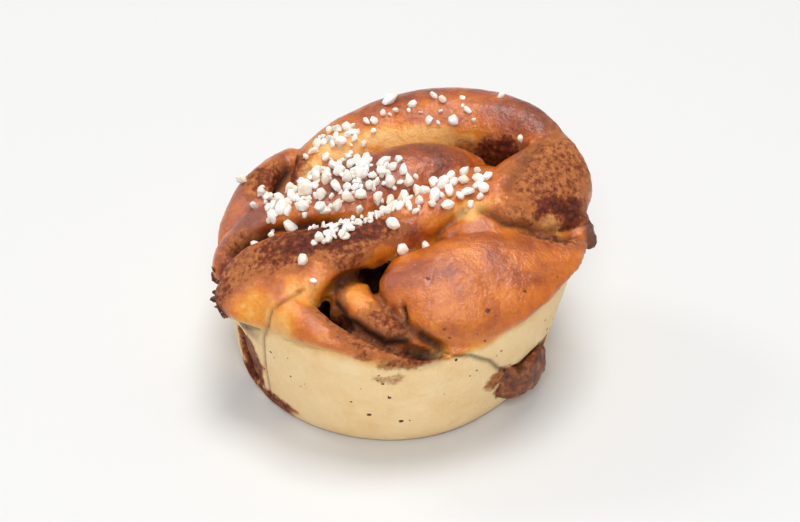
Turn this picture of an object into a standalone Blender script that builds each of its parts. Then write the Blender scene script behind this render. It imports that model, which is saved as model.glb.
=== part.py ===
"""Knotted cinnamon bun baked in a round paper cup, with a cinnamon layer inside and pearl sugar on top.

One strap of enriched dough is wound and knotted over itself. The cup moulds the lower part into a
smooth tapered drum, the loops of the knot rise above it and bake brown. Sizes are in millimetres,
times MM. X is to the right, -Y is the front, Z is up, and the origin is the middle of the base.
"""
import math
import random

import bmesh
import bpy
from mathutils import Euler, Matrix, Vector
from mathutils.bvhtree import BVHTree

for old in list(bpy.data.objects):
    bpy.data.objects.remove(old)

MM = 0.001

# Drum moulded by the paper cup
BASE_CENTRE = (-2.0, 1.0)
BASE_RADIUS = 38.4
RIM_RADIUS = 43.6
CUP_HEIGHT = 32.0
RIM_MEAN = 33.0
RIM_TILT = 2.8
RIM_DIP = 2.2
RIM_HIGH_SIDE = math.radians(30)
OVERHANG = 3.0
OVERHANG_RISE = 6.0
LEFT_DROOP = 7.0
RIM_TUCK = 1.4

# Straps of the knot: x, y, z of the middle, half width, half thickness, roll in degrees
STRAPS = {
    "left_edge": [
        (-24, 29, 34, 6, 7.5, 0), (-30, 23, 34, 7, 7.5, 0), (-35.5, 15, 32, 7, 7.5, 0),
        (-39, 6, 29, 6.5, 6.5, 0), (-41, -1, 25, 5, 5.5, 0),
    ],
    "back_loop": [
        (-25, 13, 29.5, 4.5, 6, 0), (-23.5, 21.5, 33.5, 6, 8, 0), (-15, 29.5, 36.5, 8.8, 9.5, 0),
        (-3, 33.5, 40, 10, 10.5, 0), (9, 34.5, 43, 10, 10.5, 0), (21, 33, 43.5, 8.8, 11, 0),
        (32, 28, 43, 7.8, 11, 5), (39, 18, 41, 7.8, 10.5, 15),
    ],
    "right_flank": [
        (39, 25, 41, 6.5, 9, 25), (38.5, 16, 42, 10.3, 9.6, 35), (33.5, 6, 40.8, 13, 8.5, 38),
        (25.5, -1.5, 39.8, 11, 8, 34), (17.5, -7, 38.6, 8, 7.5, 24), (10, -10, 36.5, 6, 6.5, 10),
    ],
    "crossing": [
        (27, 11.5, 37, 4.5, 6.5, 0), (21.5, 8, 41.7, 6, 7.5, 0), (14.5, 1.5, 42.8, 7, 7.5, 3),
        (7, -4.2, 42.8, 6.3, 7, 8), (-1, -8.9, 42.5, 5.9, 6, 13), (-13, -13.7, 41, 7.4, 5.8, 15),
        (-25.5, -17, 36.4, 11.5, 6.2, 20), (-35.5, -16.6, 30.6, 13.2, 6.6, 21), (-43, -14.5, 26, 11, 6, 16),
    ],
    "middle_ridge": [
        (21, 16.5, 33.5, 5, 6, 0), (15.5, 16.5, 38.7, 7, 8.5, 0), (7.5, 14, 42, 9.3, 9, 0),
        (-3, 10.5, 41.5, 11, 9, 0), (-14, 4, 40.5, 11, 9, 0), (-24, 0, 37.8, 9.3, 8.5, 0),
        (-33, -1, 34, 7.5, 8, 0), (-39.5, -4, 29.5, 6, 7, 0), (-41.5, -9, 25, 4.5, 5.5, 0),
    ],
    "right_lobe": [
        (-3.4, -18.8, 32.4, 8.4, 8.6, -14), (8.6, -23.4, 34.2, 14, 10, -22), (20, -21, 33.7, 15.2, 10.4, -26),
        (30.5, -15.5, 32.3, 14, 10.3, -24), (39.5, -7.5, 31, 10.5, 9, -16), (44, 1, 30, 7.5, 7.5, -8),
    ],
    "front_rim": [
        (-22.5, -14, 30, 4.8, 7, 0), (-25.8, -20, 30.5, 6.2, 8.5, 0), (-25.6, -27.4, 30, 6.2, 8.5, 0),
        (-19.5, -34.2, 28.4, 5.4, 8.5, 0), (-10, -38.6, 25.6, 4.8, 8.4, 0), (0, -40.6, 23.4, 4.2, 8.2, 0),
        (13, -37, 21.5, 3.5, 7, 0),
    ],
    "inner_coil": [
        (-12, -10.5, 30, 4.5, 6, 0), (-12.4, -17.6, 31.2, 5, 7, 0), (-10.4, -24.8, 31.6, 6, 7.3, 0),
        (-5, -30.8, 30.2, 6.2, 7.5, 0), (3, -34, 27.5, 5.5, 7.2, 0), (8.5, -35, 25, 4.5, 6.5, 0),
    ],
}
SECTION_POWER = 2.4
STRAP_AROUND = 12
STRAP_ALONG = 24
DRUM_AROUND = 60

# Drip of burnt caramel at the right edge, same columns as the straps
CARAMEL_DRIP = [(41.5, 5, 39, 3, 2.6, 0), (44.2, 1.6, 38, 3.6, 2.4, 0), (46.2, -1.2, 36, 3.2, 2, 0),
                (48, -3.6, 33.8, 1.4, 1.3, 0)]
LIP_FLAKES = 14

# Cinnamon layer, upright: x, y, z of the middle, half width, half height
FILLING_ALONG = 30
FILLING = [
    (-40.6, -18.6, 10.8, 5.6, 8.4), (-34.6, -15.8, 11.2, 4.2, 8.2), (-29, -13, 12.5, 1.8, 8),
    (-19, -10, 14, 0.9, 8), (-4, -13, 14, 0.9, 8), (11, -20, 13.5, 0.9, 8), (22, -26, 12.5, 1.2, 6.5),
    (28.7, -26.3, 10.6, 1.8, 5), (33, -22.2, 11.2, 2, 5), (36, -17.5, 12, 1.1, 3.8),
]
FILLING_ROOM = [(-46.5, -21.3, 10.8, 6, 8.6)] + FILLING
CLEARANCE = 0.3
SLOT_DEPTH = 0.6

# Pearl sugar patches in plan: x, y, half length, half width, turn, count, smallest, largest
SUGAR_SEED = 29
SUGAR_PATCHES = [
    (-12.5, 2.5, 16, 8, 8, 66, 2.4, 4.1), (-26.5, -1, 5, 4.5, 0, 9, 2.6, 4.4),
    (-31, 11, 4.5, 1.4, -35, 4, 2.4, 3.6), (10, -0.5, 13, 6, 20, 33, 2.4, 4.0),
    (-9, -10, 13, 1.3, 25, 8, 1.6, 2.2), (-15, -14.5, 5, 1.8, 0, 4, 2.2, 3.4),
    (-17, 25, 6.5, 4.5, 30, 11, 2.4, 3.6), (6, 29, 24, 4.5, 5, 9, 2.0, 3.4),
]
LONE_GRAINS = [
    (-1.2, -12.3, 4.4), (1.5, -16, 4.4), (6.5, -12.4, 3.4), (-22.5, -20, 3.6), (-20, -24.4, 2.2),
    (-39, 17.5, 3.4), (-36, 9, 2.6), (-34.5, -6.7, 2.8), (-30.5, -8.7, 1.9), (-1.8, 35.3, 3.9),
    (14, 27, 3.8), (30.8, 21, 2.4),
]


def section(angle, half_width, half_height):
    """Point of a superellipse, a soft rectangle, at an angle."""
    c = math.cos(angle)
    s = math.sin(angle)
    x = math.copysign(abs(c) ** (2 / SECTION_POWER), c) * half_width
    y = math.copysign(abs(s) ** (2 / SECTION_POWER), s) * half_height
    return x, y


def along_stations(stations, t):
    """Smooth values of all columns of a station table at t from 0 to 1."""
    spans = len(stations) - 1
    position = min(max(t, 0.0), 1.0) * spans
    i = min(int(position), spans - 1)
    f = position - i
    rows = [stations[min(max(i + k, 0), spans)] for k in (-1, 0, 1, 2)]
    weights = (
        -0.5 * f + f * f - 0.5 * f ** 3,
        1 - 2.5 * f * f + 1.5 * f ** 3,
        0.5 * f + 2 * f * f - 1.5 * f ** 3,
        -0.5 * f * f + 0.5 * f ** 3,
    )
    return [sum(w * row[c] for w, row in zip(weights, rows)) for c in range(len(stations[0]))]


def bump(angle, middle, width):
    """Smooth bump of height one round a direction, both in degrees."""
    away = (math.degrees(angle) - middle + 180) % 360 - 180
    return math.exp(-((away / width) ** 2))


def rim_height(angle):
    """Height of the upper edge of the drum, which leans with the knot and dips at the front right."""
    return RIM_MEAN + RIM_TILT * math.cos(angle - RIM_HIGH_SIDE) - RIM_DIP * bump(angle, 290, 42)


def overhang(angle):
    """How far the knot swells over the cup's edge, most at the left and right, least in front."""
    swell = 2.4 * bump(angle, 200, 32) + 3.2 * bump(angle, 4, 24)
    return OVERHANG + swell - 1.9 * bump(angle, 258, 34)


def drum_radius(angle, z):
    """Radius of the tapered wall, slightly out of round and flattened at the front right."""
    flare = BASE_RADIUS + (RIM_RADIUS - BASE_RADIUS) * min(z / CUP_HEIGHT, 1.1)
    return flare * (1 + 0.01 * math.cos(2 * angle + 1.2)) - 1.6 * bump(angle, 316, 26)


def held_by_cup(point, inset):
    """Keep a point inside the cup's wall, and let it swell a little over the edge above."""
    angle = math.atan2(point.y, point.x)
    above = (point.z - rim_height(angle) + 1.5 + LEFT_DROOP * bump(angle, 199, 20)) / OVERHANG_RISE
    ease = min(max(above, 0.0), 1.0)
    ease = ease * ease * (3 - 2 * ease)
    limit = drum_radius(angle, point.z) - RIM_TUCK + (overhang(angle) + RIM_TUCK) * ease - inset
    reach = math.hypot(point.x, point.y)
    if reach > limit:
        return Vector((point.x * limit / reach, point.y * limit / reach, point.z))
    return point


def strap_point(stations, around, t, inset):
    """Point on the skin of a strap with rounded ends, around and t from 0 to 1."""
    end = 0.09
    x, y, z, half_width, half_height, roll = along_stations(stations, t)
    ahead = Vector(along_stations(stations, t + 0.02)[:3])
    behind = Vector(along_stations(stations, t - 0.02)[:3])
    forward = (ahead - behind).normalized()
    side = forward.cross(Vector((0, 0, 1))).normalized()
    up = side.cross(forward)
    squash = 1.0
    near_end = min(t, 1 - t) / end
    if near_end < 1:
        squash = math.sqrt(max(0.0, 1 - (1 - near_end) ** 2))
    a, b = section(2 * math.pi * around, half_width * squash, half_height * squash)
    turn = math.radians(roll)
    across = a * math.cos(turn) - b * math.sin(turn)
    height = a * math.sin(turn) + b * math.cos(turn)
    return held_by_cup(Vector((x, y, z)) + side * across + up * height, inset) * MM


def drum_point(around, t):
    """Point on the drum: flat base, tapered wall, rounded edge and a hollowed top under the knot."""
    angle = 2 * math.pi * around
    rim = rim_height(angle)
    hollow = 8.0 - 7.0 * bump(angle, 297, 20)
    profile = [
        (0.0, 0.0, 0.0), (0.12, 0.0, 0.55), (0.2, 0.0, 0.955), (0.26, 0.7, 0.985), (0.32, 3.2, 1.0),
        (0.45, 0.4 * rim, 1.0), (0.62, 0.85 * rim, 1.0), (0.68, rim, 0.985), (0.73, rim + 0.6, 0.955),
        (0.78, rim - 0.6, 0.9), (0.86, rim - 0.75 * hollow, 0.78), (0.93, rim - hollow, 0.45),
        (1.0, RIM_MEAN - 8.0, 0.0),
    ]
    k = 0
    while k < len(profile) - 2 and t > profile[k + 1][0]:
        k += 1
    low, high = profile[k], profile[k + 1]
    f = (t - low[0]) / (high[0] - low[0])
    z = low[1] + (high[1] - low[1]) * f
    r = (low[2] + (high[2] - low[2]) * f) * drum_radius(angle, z)
    shift = max(0.0, 1 - z / CUP_HEIGHT)
    x = BASE_CENTRE[0] * shift + r * math.cos(angle)
    y = BASE_CENTRE[1] * shift + r * math.sin(angle)
    return Vector((x, y, z)) * MM


def closed_skin(name, place, around, stops, collection):
    """Closed solid from a grid wrapped by place(around, t), its ends drawn together to points."""
    bm = bmesh.new()
    bmesh.ops.create_grid(bm, x_segments=around, y_segments=len(stops) - 1, size=1.0)
    for v in bm.verts:
        u = (v.co.x + 1) / 2
        t = stops[round((v.co.y + 1) / 2 * (len(stops) - 1))]
        v.co = place(u % 1.0 if u < 0.9999 else 0.0, t)
    bmesh.ops.remove_doubles(bm, verts=list(bm.verts), dist=1e-6)
    bmesh.ops.recalc_face_normals(bm, faces=list(bm.faces))
    mesh = bpy.data.meshes.new(name)
    bm.to_mesh(mesh)
    bm.free()
    solid = bpy.data.objects.new(name, mesh)
    collection.objects.link(solid)
    return solid


def build_straps(collection, around=STRAP_AROUND, along=STRAP_ALONG):
    stops = [k / along for k in range(along + 1)]
    made = []
    for k, (name, rows) in enumerate(STRAPS.items()):
        inset = 0.12 * k
        made.append(closed_skin(name, lambda u, t: strap_point(rows, u, t, inset), around, stops, collection))
    return made


def build_drum(collection, around=DRUM_AROUND):
    stops = [0.0, 0.12, 0.2, 0.26, 0.32, 0.45, 0.62, 0.68, 0.73, 0.78, 0.86, 0.93, 1.0]
    return closed_skin("drum", drum_point, around, stops, collection)


def filling_section(stations, around, t, grow):
    """Point on the skin of the upright cinnamon layer, grown by a clearance for the cutter."""
    x, y, z, half_width, half_height = along_stations(stations, t)
    ahead = Vector(along_stations(stations, t + 0.02))
    behind = Vector(along_stations(stations, t - 0.02))
    forward = Vector((ahead[0] - behind[0], ahead[1] - behind[1], 0)).normalized()
    side = forward.cross(Vector((0, 0, 1)))
    squash = 1.0
    near_end = min(t, 1 - t) / 0.06
    if near_end < 1:
        squash = math.sqrt(max(0.0, 1 - (1 - near_end) ** 2))
    a, b = section(2 * math.pi * around, (half_width + grow) * squash, (half_height + grow) * squash)
    tip = forward * grow * (1 if t > 0.5 else -1) * (1 - squash)
    point = Vector((x, y, z)) + side * a + Vector((0, 0, b)) + tip
    reach = math.hypot(point.x, point.y)
    limit = drum_radius(math.atan2(point.y, point.x), point.z) - SLOT_DEPTH
    if point.x < -20 and grow == 0.0 and reach > limit:
        point = Vector((point.x * limit / reach, point.y * limit / reach, point.z))
    return point * MM


def build_filling(name, stations, grow, collection):
    stops = [k / FILLING_ALONG for k in range(FILLING_ALONG + 1)]
    return closed_skin(name, lambda u, t: filling_section(stations, u, t, grow), 16, stops, collection)


def sugar_places():
    """Plan position and size of every grain, the largest first, kept apart by a seeded draw."""
    draw = random.Random(SUGAR_SEED)
    wanted = [(size, x, y, 0.0, 0.0, 0.0) for x, y, size in LONE_GRAINS]
    for x, y, half_length, half_width, turn, count, small, large in SUGAR_PATCHES:
        for _ in range(count):
            size = small + (large - small) * draw.random() ** 1.6
            wanted.append((size, x, y, half_length, half_width, math.radians(turn)))
    wanted.sort(key=lambda grain: -grain[0])
    placed = []
    for size, x, y, half_length, half_width, turn in wanted:
        for _ in range(24):
            reach = math.sqrt(draw.random()) * (0.75 + 0.35 * draw.random())
            angle = 2 * math.pi * draw.random()
            a = half_length * reach * math.cos(angle)
            b = half_width * reach * math.sin(angle)
            px = x + a * math.cos(turn) - b * math.sin(turn)
            py = y + a * math.sin(turn) + b * math.cos(turn)
            if all(math.hypot(px - q[0], py - q[1]) > 0.385 * (size + q[2]) for q in placed):
                placed.append((px, py, size))
                break
    return placed


def lump(name, centre, sizes, turn, draw, collection):
    """Rough nugget: an icosphere of 20 faces, each corner moved in or out."""
    bm = bmesh.new()
    bmesh.ops.create_icosphere(bm, subdivisions=1, radius=1.0)
    for v in bm.verts:
        corner = v.co * draw.uniform(0.84, 1.12)
        corner = Vector((corner.x * sizes[0], corner.y * sizes[1], corner.z * sizes[2]))
        corner.rotate(turn)
        v.co = (corner + centre) * MM
    mesh = bpy.data.meshes.new(name)
    bm.to_mesh(mesh)
    bm.free()
    nugget = bpy.data.objects.new(name, mesh)
    collection.objects.link(nugget)
    return nugget


def any_turn(draw):
    return Euler([draw.uniform(0, 2 * math.pi) for _ in range(3)])


def material(name, colour, roughness):
    made = bpy.data.materials.new(name)
    made.use_nodes = True
    shader = made.node_tree.nodes["Principled BSDF"]
    shader.inputs["Base Color"].default_value = (*colour, 1.0)
    shader.inputs["Roughness"].default_value = roughness
    shader.inputs["Metallic"].default_value = 0.0
    return made


def boolean(target, operation, collection=None, cutter=None):
    """Apply one Boolean and put its result in place of the target's mesh."""
    modifier = target.modifiers.new("join", "BOOLEAN")
    modifier.operation = operation
    modifier.solver = "EXACT"
    if collection:
        modifier.operand_type = "COLLECTION"
        modifier.collection = collection
    else:
        modifier.object = cutter
    graph = bpy.context.evaluated_depsgraph_get()
    result = bpy.data.meshes.new_from_object(target.evaluated_get(graph))
    target.modifiers.clear()
    target.data = result


def keep_main_body(target):
    """Drop loose scraps and sealed hollows, keep the one outer skin, and merge its flat neighbours."""
    bm = bmesh.new()
    bm.from_mesh(target.data)
    bm.faces.ensure_lookup_table()
    seen = set()
    bodies = []
    for face in bm.faces:
        if face in seen:
            continue
        body = [face]
        seen.add(face)
        for member in body:
            for edge in member.edges:
                for other in edge.link_faces:
                    if other not in seen:
                        seen.add(other)
                        body.append(other)
        bodies.append(body)
    bodies.sort(key=len)
    for body in bodies[:-1]:
        bmesh.ops.delete(bm, geom=body, context="FACES")
    bmesh.ops.dissolve_limit(bm, angle_limit=math.radians(2), verts=list(bm.verts), edges=list(bm.edges))
    bmesh.ops.triangulate(bm, faces=[f for f in bm.faces if len(f.verts) > 4])
    bm.to_mesh(target.data)
    bm.free()


world = bpy.context.scene.collection
pieces = bpy.data.collections.new("dough_pieces")
world.children.link(pieces)

dough = build_drum(world)
dough.name = "dough"
straps = build_straps(pieces)

# Caramelised edges that stand out: the torn lip at the left and the drip at the right
draw = random.Random(5)
for k in range(LIP_FLAKES):
    angle = math.radians(draw.uniform(191, 217))
    reach = 47.3 - 0.12 * abs(math.degrees(angle) - 200) + draw.uniform(-0.7, 0.3)
    place = Vector((reach * math.cos(angle), reach * math.sin(angle), draw.uniform(20.5, 27.0)))
    sizes = (draw.uniform(1.3, 2.6), draw.uniform(1.1, 1.8), draw.uniform(0.8, 1.2))
    lump("lip_flake", place, sizes, any_turn(draw), draw, pieces)
drip_stops = [k / 10 for k in range(11)]
closed_skin("caramel_drip", lambda u, t: strap_point(CARAMEL_DRIP, u, t, -20.0), 8, drip_stops, pieces)

# Pearl sugar rests on whatever dough is uppermost, about a third sunk into it
skins = bmesh.new()
for solid in [dough] + straps:
    skins.from_mesh(solid.data)
surface = BVHTree.FromBMesh(skins)
skins.free()
draw = random.Random(SUGAR_SEED)
for x, y, size in sugar_places():
    hit, normal, _, _ = surface.ray_cast(Vector((x, y, 90)) * MM, Vector((0, 0, -1)))
    half = size / 2
    sizes = (half * draw.uniform(0.95, 1.25), half * draw.uniform(0.8, 1.0), half * draw.uniform(0.75, 0.95))
    lump("pearl_sugar", hit / MM + normal * 0.5 * half, sizes, any_turn(draw), draw, pieces)

boolean(dough, "UNION", collection=pieces)
for piece in list(pieces.objects):
    bpy.data.objects.remove(piece)
bpy.data.collections.remove(pieces)

# Cinnamon layer that runs through the dough, open at the left slot and at the lump on the right
filling = build_filling("cinnamon_filling", FILLING, 0.0, world)
room = build_filling("room", FILLING_ROOM, CLEARANCE, world)
boolean(dough, "DIFFERENCE", cutter=room)
bpy.data.objects.remove(room)
keep_main_body(dough)

# The origin is the middle of the base of the box round both solids
corners = [v.co for solid in (dough, filling) for v in solid.data.vertices]
middle_x = (min(c.x for c in corners) + max(c.x for c in corners)) / 2
middle_y = (min(c.y for c in corners) + max(c.y for c in corners)) / 2
for solid in (dough, filling):
    solid.data.transform(Matrix.Translation((-middle_x, -middle_y, 0.0)))

dough.data.materials.clear()
dough.data.materials.append(material("baked_dough", (0.50, 0.22, 0.07), 0.42))
filling.data.materials.append(material("cinnamon_filling", (0.12, 0.035, 0.012), 0.55))
for solid in (dough, filling):
    solid.data.shade_smooth()
    solid.data.set_sharp_from_angle(angle=math.radians(40))
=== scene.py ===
"""Knotted cinnamon bun with pearl sugar, baked in a round paper cup.

Lengths in the tables are in millimetres, times MM, in the knot's own centre; KNOT_SHIFT moves the
finished knot to the middle of its base. X is to the right, -Y is the front, Z is up.
"""
import math
import random

import bmesh
import bpy
from mathutils import Euler, Matrix, Vector, noise
from mathutils.bvhtree import BVHTree


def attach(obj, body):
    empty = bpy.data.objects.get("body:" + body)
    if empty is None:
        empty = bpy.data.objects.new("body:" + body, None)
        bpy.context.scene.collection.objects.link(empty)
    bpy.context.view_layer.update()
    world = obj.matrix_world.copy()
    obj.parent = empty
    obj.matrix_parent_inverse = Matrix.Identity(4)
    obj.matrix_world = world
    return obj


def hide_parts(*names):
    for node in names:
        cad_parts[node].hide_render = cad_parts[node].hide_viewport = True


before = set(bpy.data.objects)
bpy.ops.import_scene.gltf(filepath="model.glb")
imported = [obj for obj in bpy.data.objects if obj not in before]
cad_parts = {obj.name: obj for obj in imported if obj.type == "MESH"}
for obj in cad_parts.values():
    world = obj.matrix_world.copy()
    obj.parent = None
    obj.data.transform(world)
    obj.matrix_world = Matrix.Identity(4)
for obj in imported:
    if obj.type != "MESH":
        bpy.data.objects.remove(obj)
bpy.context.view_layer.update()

# ------------------------------------------------------------------ knotted dough
# One strap of enriched wheat dough, spread with cinnamon butter, wound and knotted over itself.
# The paper cup moulds a smooth tapered wall; above it the loops swell and bake brown.
# The cup stands round BASE_CENTRE; its edge leans with the knot, and the knot swells over it.
MM = 0.001
KNOT_SHIFT = (-1.597, -1.062)
BASE_CENTRE = (-2.0, 1.0)
BASE_RADIUS = 38.4
RIM_RADIUS = 43.6
CUP_HEIGHT = 32.0
RIM_MEAN = 33.0
RIM_TILT = 2.8
RIM_DIP = 2.2
RIM_HIGH_SIDE = math.radians(30)
OVERHANG = 3.0
OVERHANG_RISE = 6.0
LEFT_DROOP = 7.0
RIM_TUCK = 1.4

# Straps of the knot: x, y, z of the middle, half width, half thickness, roll in degrees
STRAPS = {
    "left_edge": [
        (-24, 29, 34, 6, 7.5, 0), (-30, 23, 34, 7, 7.5, 0), (-35.5, 15, 32, 7, 7.5, 0),
        (-39, 6, 29, 6.5, 6.5, 0), (-41, -1, 25, 5, 5.5, 0),
    ],
    "back_loop": [
        (-25, 13, 29.5, 4.5, 6, 0), (-23.5, 21.5, 33.5, 6, 8, 0), (-15, 29.5, 36.5, 8.8, 9.5, 0),
        (-3, 33.5, 40, 10, 10.5, 0), (9, 34.5, 43, 10, 10.5, 0), (21, 33, 43.5, 8.8, 11, 0),
        (32, 28, 43, 7.8, 11, 5), (39, 18, 41, 7.8, 10.5, 15),
    ],
    "right_flank": [
        (39, 25, 41, 6.5, 9, 25), (38.5, 16, 42, 10.3, 9.6, 35), (33.5, 6, 40.8, 13, 8.5, 38),
        (25.5, -1.5, 39.8, 11, 8, 34), (17.5, -7, 38.6, 8, 7.5, 24), (10, -10, 36.5, 6, 6.5, 10),
    ],
    "crossing": [
        (27, 11.5, 37, 4.5, 6.5, 0), (21.5, 8, 41.7, 6, 7.5, 0), (14.5, 1.5, 42.8, 7, 7.5, 3),
        (7, -4.2, 42.8, 6.3, 7, 8), (-1, -8.9, 42.5, 5.9, 6, 13), (-13, -13.7, 41, 7.4, 5.8, 15),
        (-25.5, -17, 36.4, 11.5, 6.2, 20), (-35.5, -16.6, 30.6, 13.2, 6.6, 21), (-43, -14.5, 26, 11, 6, 16),
    ],
    "middle_ridge": [
        (21, 16.5, 33.5, 5, 6, 0), (15.5, 16.5, 38.7, 7, 8.5, 0), (7.5, 14, 42, 9.3, 9, 0),
        (-3, 10.5, 41.5, 11, 9, 0), (-14, 4, 40.5, 11, 9, 0), (-24, 0, 37.8, 9.3, 8.5, 0),
        (-33, -1, 34, 7.5, 8, 0), (-39.5, -4, 29.5, 6, 7, 0), (-41.5, -9, 25, 4.5, 5.5, 0),
    ],
    "right_lobe": [
        (-3.4, -18.8, 32.4, 8.4, 8.6, -14), (8.6, -23.4, 34.2, 14, 10, -22), (20, -21, 33.7, 15.2, 10.4, -26),
        (30.5, -15.5, 32.3, 14, 10.3, -24), (39.5, -7.5, 31, 10.5, 9, -16), (44, 1, 30, 7.5, 7.5, -8),
    ],
    "front_rim": [
        (-22.5, -14, 30, 4.8, 7, 0), (-25.8, -20, 30.5, 6.2, 8.5, 0), (-25.6, -27.4, 30, 6.2, 8.5, 0),
        (-19.5, -34.2, 28.4, 5.4, 8.5, 0), (-10, -38.6, 25.6, 4.8, 8.4, 0), (0, -40.6, 23.4, 4.2, 8.2, 0),
        (13, -37, 21.5, 3.5, 7, 0),
    ],
    "inner_coil": [
        (-12, -10.5, 30, 4.5, 6, 0), (-12.4, -17.6, 31.2, 5, 7, 0), (-10.4, -24.8, 31.6, 6, 7.3, 0),
        (-5, -30.8, 30.2, 6.2, 7.5, 0), (3, -34, 27.5, 5.5, 7.2, 0), (8.5, -35, 25, 4.5, 6.5, 0),
    ],
}
CARAMEL_DRIP = [(41.5, 5, 39, 3, 2.6, 0), (44.2, 1.6, 38, 3.6, 2.4, 0), (46.2, -1.2, 36, 3.2, 2, 0),
                (48, -3.6, 33.8, 1.4, 1.3, 0)]
FILLING = [
    (-40.6, -18.6, 10.8, 5.6, 8.4), (-34.6, -15.8, 11.2, 4.2, 8.2), (-29, -13, 12.5, 1.8, 8),
    (-19, -10, 14, 0.9, 8), (-4, -13, 14, 0.9, 8), (11, -20, 13.5, 0.9, 8), (22, -26, 12.5, 1.2, 6.5),
    (28.7, -26.3, 10.6, 1.8, 5), (33, -22.2, 11.2, 2, 5), (36, -17.5, 12, 1.1, 3.8),
]
FILLING_ROOM = [(-46.5, -21.3, 10.8, 6, 8.6)] + FILLING
SLOT_DEPTH = 0.6
SKIN_VOXEL = 0.68
SMOOTHING_PASSES = 4
SECTION_POWER = 2.4
WALL_REACH = 36.0  # skin farther out than this can be the moulded wall
ABOVE_ALL = 90.0  # height and distance from which rays find the skin
BEYOND_ALL = 70.0
SKY_REACH = 22.0
STRAP_REACH = 4.0

# Seams pressed into the crust, laid out from above: half width, depth, strength of the painted shade in the
# seam, then x and y along them
CRUST_SEAMS = [
    (0.6, 0.7, 0.6, [(-23, -26), (-26, -28), (-29, -30)]),
    (1.7, 0.5, 1.0, [(-15, -27), (-12, -32), (-7, -36), (-3, -38), (2, -38)]),
    (0.8, 1.6, 1.0, [(1, -32), (2, -35)]),
    (1.6, 0.9, 0.35, [(35, 17), (30, 6), (27, 1)]),
    (1.1, 1.7, 0.75, [(20, -5), (26, -8), (32, -7), (39, -8), (43, -4)]),
    (1.4, 2.8, 1.0, [(-17, -7), (-24, -7), (-31, -6), (-37, -7), (-41, -8)]),
    (1.3, 2.2, 0.95, [(-17, -7), (-9, -7), (-3, -5), (0, -1)]),
    (1.8, 3.2, 1.0, [(-28, 22), (-29, 18), (-30, 13)]),
]
# Seams in the moulded wall: the same, but with direction in degrees and height along them
WALL_SEAMS = [
    (0.6, 0.7, 0.6, [(228, 36), (228, 32), (223, 26), (220, 14), (220, 4)]),
    (0.7, 0.5, 0.8, [(286, 31), (296, 29), (304, 24), (309, 19), (317, 14)]),
]

# Where two straps have baked together and no fold shows between them, laid out as the marks below
SOFT_FOLDS = [(-27, -27, 35, 10, 6, 9, 0, 0.95), (41.5, 20, 50, 8, 7, 8, 0, 1.0)]

# Straps that stand apart, so that the fold between them is an open slot: reach of its groove and of its painted
# shade, depth
OPEN_FOLDS = {
    ("front_rim", "inner_coil"): (2.0, 2.4), ("crossing", "inner_coil"): (1.9, 2.2),
    ("crossing", "front_rim"): (0.6, 0.5), ("inner_coil", "right_lobe"): (1.3, 1.6),
}
USUAL_FOLD = (0.95, 1.4)

# Marks of the oven and of the cinnamon: x, y, z, half length, half width, half height, turn, strength
# Cinnamon lies strap by strap, so it stops at the folds
CINNAMON_MARKS = {
    "left_edge": [(-33, 17.5, 40.5, 4.5, 7, 4, -30, 0.8)],
    "back_loop": [
        (-25.5, 20, 39.5, 3, 6, 5, -20, 1.1), (17, 25, 44.5, 7, 2.2, 2.6, 0, 0.6),
        (27, 22, 43, 8, 5.5, 6, 0, 1.2), (41, 22, 50, 5, 5, 5, 0, 0.45),
    ],
    "right_flank": [
        (38, 8, 48, 15, 10, 10, 60, 0.62), (42, 1, 42, 9, 7, 7, 10, 0.5),
        (40, -1, 43, 11, 5, 5, 10, 1.0), (28, -5.5, 46, 8, 3, 3, -15, 0.55),
    ],
    "crossing": [
        (-20, -14.5, 44.5, 9, 4.5, 5, 10, 1.25), (-13, -18.5, 44, 6, 3.6, 4, 10, 0.75),
        (-26, -14.5, 42.5, 13, 7, 6, 8, 0.8), (-11, -13, 46, 13, 5, 4, 14, 0.95),
        (-38, -13, 36, 9, 9, 7, 30, 0.55), (-43, -17, 31, 5, 8, 6, 0, 0.75),
    ],
    "middle_ridge": [(18, 22, 44, 8, 3, 4, 0, 0.8), (-38, -5, 37, 8, 3, 4, 30, 0.6)],
    "right_lobe": [(37, -8.5, 41, 11, 2.2, 3, 10, 0.75), (5.5, -36.5, 32, 2.5, 2.5, 2.5, 0, 0.6)],
    "front_rim": [
        (-17.5, -30, 34, 3.2, 9, 7, 30, 0.62), (-7, -39, 32.5, 10, 3, 3, -14, 0.66),
        (4, -40, 30.5, 9, 2.6, 3, 6, 0.75),
    ],
    "inner_coil": [
        (-3, -33, 34.5, 8, 4.5, 4.5, -25, 0.72), (-13.5, -24, 35, 2.6, 7, 6, 0, 0.55),
        # The mark below lies low in the slot between the inner coil and the front rim: cinnamon there, and
        # painted shade that darkens the slot
        (-11, -31, 30, 5, 7, 5, 45, 0.95),
    ],
    "cup": [
        (-1.8, -41.8, 24.8, 3.6, 3, 1.8, 0, 0.4), (25, -31, 15, 4, 4, 4, 0, 0.6),
        (29.5, -26.5, 10, 6, 6, 4, 0, 0.95), (35, -18, 11, 5, 6, 5, 0, 0.95),
        (-35.5, -19.5, 11, 3.4, 4, 9, 0, 0.95), (-37.6, -15.5, 13, 2.6, 3.6, 8, 0, 0.95),
        (-37, -15, 7, 3, 4.4, 7, 0, 1.0), (-31, -24.5, 3, 8, 3, 2.6, -45, 0.8),
    ],
}
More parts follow.
